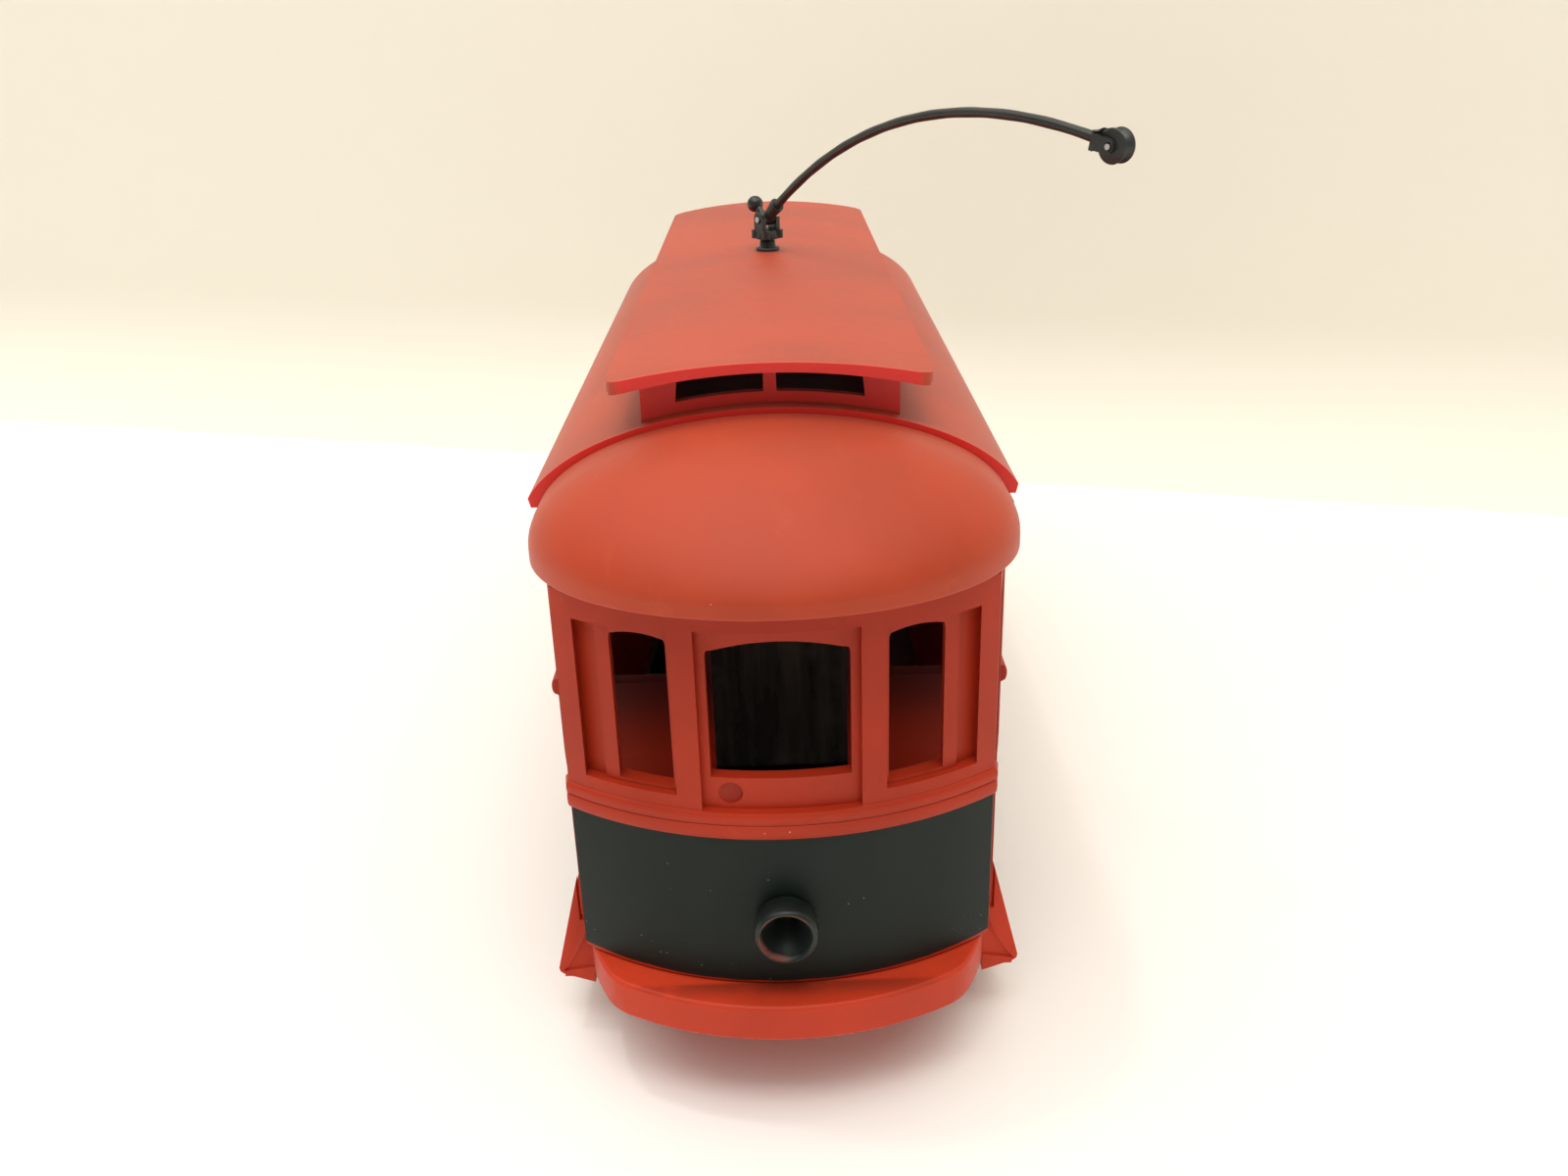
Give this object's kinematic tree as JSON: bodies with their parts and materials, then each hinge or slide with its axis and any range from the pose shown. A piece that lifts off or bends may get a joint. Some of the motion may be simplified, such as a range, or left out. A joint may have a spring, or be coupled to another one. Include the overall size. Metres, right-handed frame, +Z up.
{
  "type": "model street railway car",
  "caption": "Small-scale model of a double-ended single-truck street railway car with a deck roof, bowed ends, a geared motor chassis and a swivelling trolley pole.",
  "frame": {"origin": "on the rails' plane under the middle of the car, level with the lowest point of the wheel flanges", "axes": "+X across the car to its right seen from the front, +Y from the front end towards the rear end, +Z up"},
  "size_m": [0.0398, 0.0996, 0.0588],
  "materials": {
    "red": "satin moulded",
    "black": "satin moulded",
    "weight": "black paint, glossy",
    "steel": "turned and plated",
    "nylon": "natural nylon",
    "brass": "machined",
    "bronze": "rolled phosphor bronze",
    "core": "laminated and varnished",
    "magnet": "sintered",
    "wire_red": "flexible sleeve",
    "wire_black": "flexible sleeve"
  },
  "bodies": {
    "car": {"saloon_body": "red", "front_vestibule": "red", "rear_vestibule": "red", "front_hood": "red", "rear_hood": "red", "main_roof": "red", "deck_roof": "red", "front_platform": "red", "rear_platform": "red", "front_left_step": "red", "front_right_step": "red", "rear_left_step": "red", "rear_right_step": "red", "chassis": "black", "keeper_plate": "black", "left_side_frame": "black", "right_side_frame": "black", "motor_end_bell": "black", "front_headlight": "black", "rear_headlight": "black", "pole_base": "black", "ballast_weight": "weight", "motor_can": "steel", "front_keeper_screw": "steel", "rear_keeper_screw": "steel", "front_ballast_screw": "steel", "rear_ballast_screw": "steel", "front_platform_screw": "steel", "rear_platform_screw": "steel", "pole_clip": "steel", "left_pickup": "bronze", "right_pickup": "bronze", "left_brush": "bronze", "right_brush": "bronze", "upper_magnet": "magnet", "lower_magnet": "magnet", "right_motor_lead": "wire_red", "left_motor_lead": "wire_black"},
    "front_wheelset": {"front_axle": "steel", "front_left_wheel": "steel", "front_right_wheel": "steel", "front_axle_gear": "nylon"},
    "rear_wheelset": {"rear_axle": "steel", "rear_left_wheel": "steel", "rear_right_wheel": "steel", "rear_axle_gear": "nylon"},
    "armature": {"motor_shaft": "steel", "armature_core": "core", "commutator": "bronze", "front_worm": "brass", "rear_worm": "brass"},
    "pole_swivel": {"pole_turret": "black", "hinge_pin": "steel"},
    "pole": {"trolley_pole": "black", "pole_yoke": "black", "pole_harp": "black", "harp_pin": "steel"},
    "trolley_wheel_body": {"trolley_wheel": "black"}
  },
  "joints": [
    {"name": "front_wheelset_spin", "type": "hinge", "parent": "car", "child": "front_wheelset", "pos_m": [0, -0.014, 0.0055], "axis": [1, 0, 0], "continuous": true},
    {"name": "rear_wheelset_spin", "type": "hinge", "parent": "car", "child": "rear_wheelset", "pos_m": [0, 0.014, 0.0055], "axis": [1, 0, 0], "continuous": true},
    {"name": "armature_spin", "type": "hinge", "parent": "car", "child": "armature", "pos_m": [0, 0, 0.01035], "axis": [0, 1, 0], "continuous": true},
    {"name": "pole_swing", "type": "hinge", "parent": "car", "child": "pole_swivel", "pos_m": [0, 0.0044, 0.04613], "axis": [0, 0, 1], "continuous": true},
    {"name": "pole_lift", "type": "hinge", "parent": "pole_swivel", "child": "pole", "pos_m": [0, 0.0044, 0.0488], "axis": [-0.788, -0.6157, 0], "range_deg": [-12, 30]},
    {"name": "trolley_wheel_spin", "type": "hinge", "parent": "pole", "child": "trolley_wheel_body", "pos_m": [0.02286, -0.02485, 0.05686], "axis": [0.788, 0.6157, 0], "continuous": true}
  ],
  "couplings": [
    {"joint": "rear_wheelset_spin", "follows": "front_wheelset_spin", "ratio": 1},
    {"joint": "armature_spin", "follows": "front_wheelset_spin", "ratio": -14}
  ]
}
